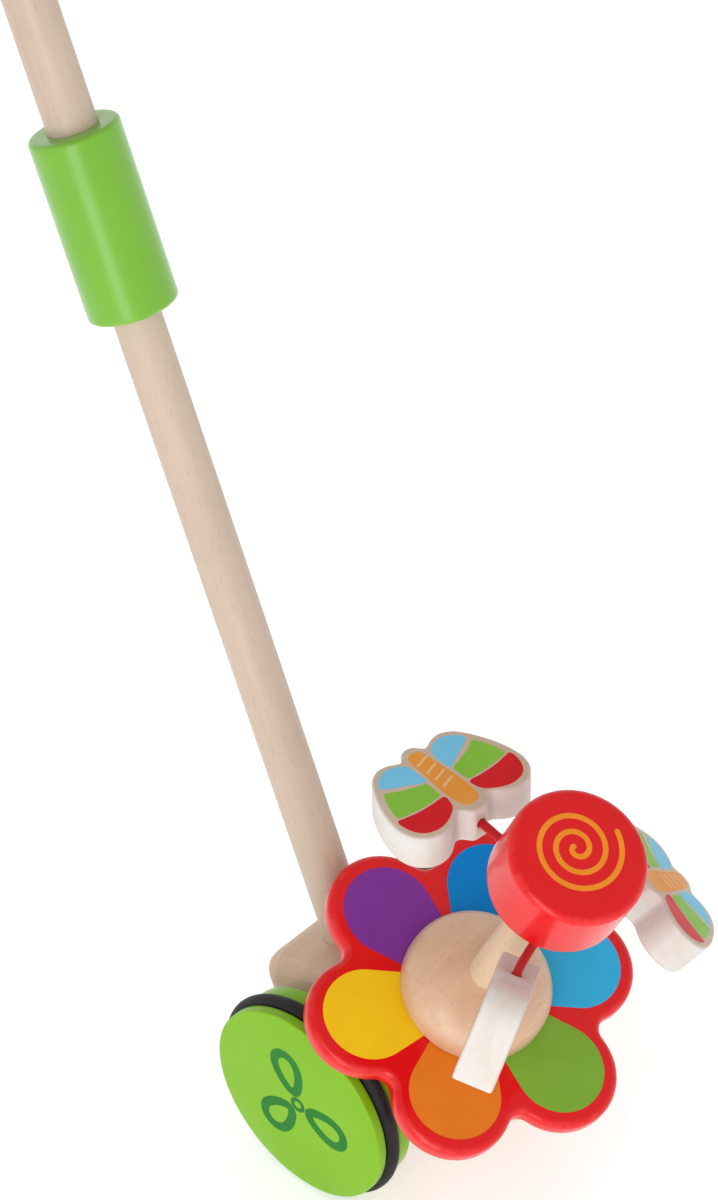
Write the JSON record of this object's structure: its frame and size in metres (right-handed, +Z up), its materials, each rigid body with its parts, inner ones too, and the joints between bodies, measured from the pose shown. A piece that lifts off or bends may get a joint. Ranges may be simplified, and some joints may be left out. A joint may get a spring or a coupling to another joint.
{
  "type": "toddler push toy",
  "caption": "Wooden walk-behind push toy: a tilted flower with wire-borne butterflies is turned by one rubber-ringed wheel as it rolls, on a long stick with a green sleeve.",
  "frame": {"origin": "on the block's flat underside, in the toy's mid-plane, 12 mm behind the axle's centre line", "axes": "+Z up, square to the block's flat underside; -Y the way the toy drives, with its user behind it on the +Y side; +X to the user's left, along the axle"},
  "size_m": [0.1375, 0.3535, 0.5502],
  "materials": {
    "beech": "sanded beech under a thin matt clear coat",
    "pale_beech": "sanded pale beech, painted patches on the faces",
    "dowel_beech": "bare beech dowel",
    "green_lacquered_wood": "satin gloss leaf-green lacquer",
    "red_lacquered_wood": "satin gloss red lacquer",
    "black_rubber": "matt black rubber",
    "white_nylon": "natural nylon",
    "red_coated_wire": "red plastic coated steel wire",
    "zinc_steel": "zinc plated steel"
  },
  "bodies": {
    "chassis": {"chassis_block": "beech", "lower_stick": "beech", "upper_stick": "beech", "grip_sleeve": "green_lacquered_wood", "stick_joint_dowel": "dowel_beech", "stick_lock_dowel": "dowel_beech", "right_axle_bush": "white_nylon", "left_axle_bush": "white_nylon"},
    "wheelset": {"axle_rod": "zinc_steel", "right_wheel": "green_lacquered_wood", "left_wheel": "green_lacquered_wood", "right_tyre_ring": "black_rubber", "left_tyre_ring": "black_rubber", "right_axle_spacer": "white_nylon", "left_axle_spacer": "white_nylon"},
    "flower": {"flower_disc": "red_lacquered_wood", "flower_dome": "beech", "spindle_peg": "beech", "thrust_washer": "white_nylon", "pivot_screw": "zinc_steel", "screw_washer": "zinc_steel", "top_cap": "red_lacquered_wood", "butterfly_wire_1": "red_coated_wire", "butterfly_wire_2": "red_coated_wire", "butterfly_wire_3": "red_coated_wire"},
    "butterfly_a": {"butterfly_1": "pale_beech"},
    "butterfly_b": {"butterfly_2": "pale_beech"},
    "butterfly_c": {"butterfly_3": "pale_beech"}
  },
  "joints": [
    {"name": "axle_spin", "type": "hinge", "parent": "chassis", "child": "wheelset", "pos_m": [0, -0.012, 0.0195], "axis": [1, 0, 0], "continuous": true},
    {"name": "flower_spin", "type": "hinge", "parent": "chassis", "child": "flower", "pos_m": [0, -0.04918, 0.06485], "axis": [-0.0837, -0.439, 0.8946], "continuous": true},
    {"name": "butterfly_a_roll", "type": "hinge", "parent": "flower", "child": "butterfly_a", "pos_m": [-0.00692, -0.05552, 0.15946], "axis": [0.112, 0.9937, -0.0024], "continuous": true},
    {"name": "butterfly_b_roll", "type": "hinge", "parent": "flower", "child": "butterfly_b", "pos_m": [0.01934, -0.10546, 0.13741], "axis": [0.7739, 0.1321, -0.6194], "continuous": true},
    {"name": "butterfly_c_roll", "type": "hinge", "parent": "flower", "child": "butterfly_c", "pos_m": [-0.03776, -0.10017, 0.13466], "axis": [-0.5691, -0.0354, -0.8215], "continuous": true}
  ],
  "couplings": [
    {"joint": "axle_spin", "follows": "flower_spin", "ratio": 1.1312}
  ]
}
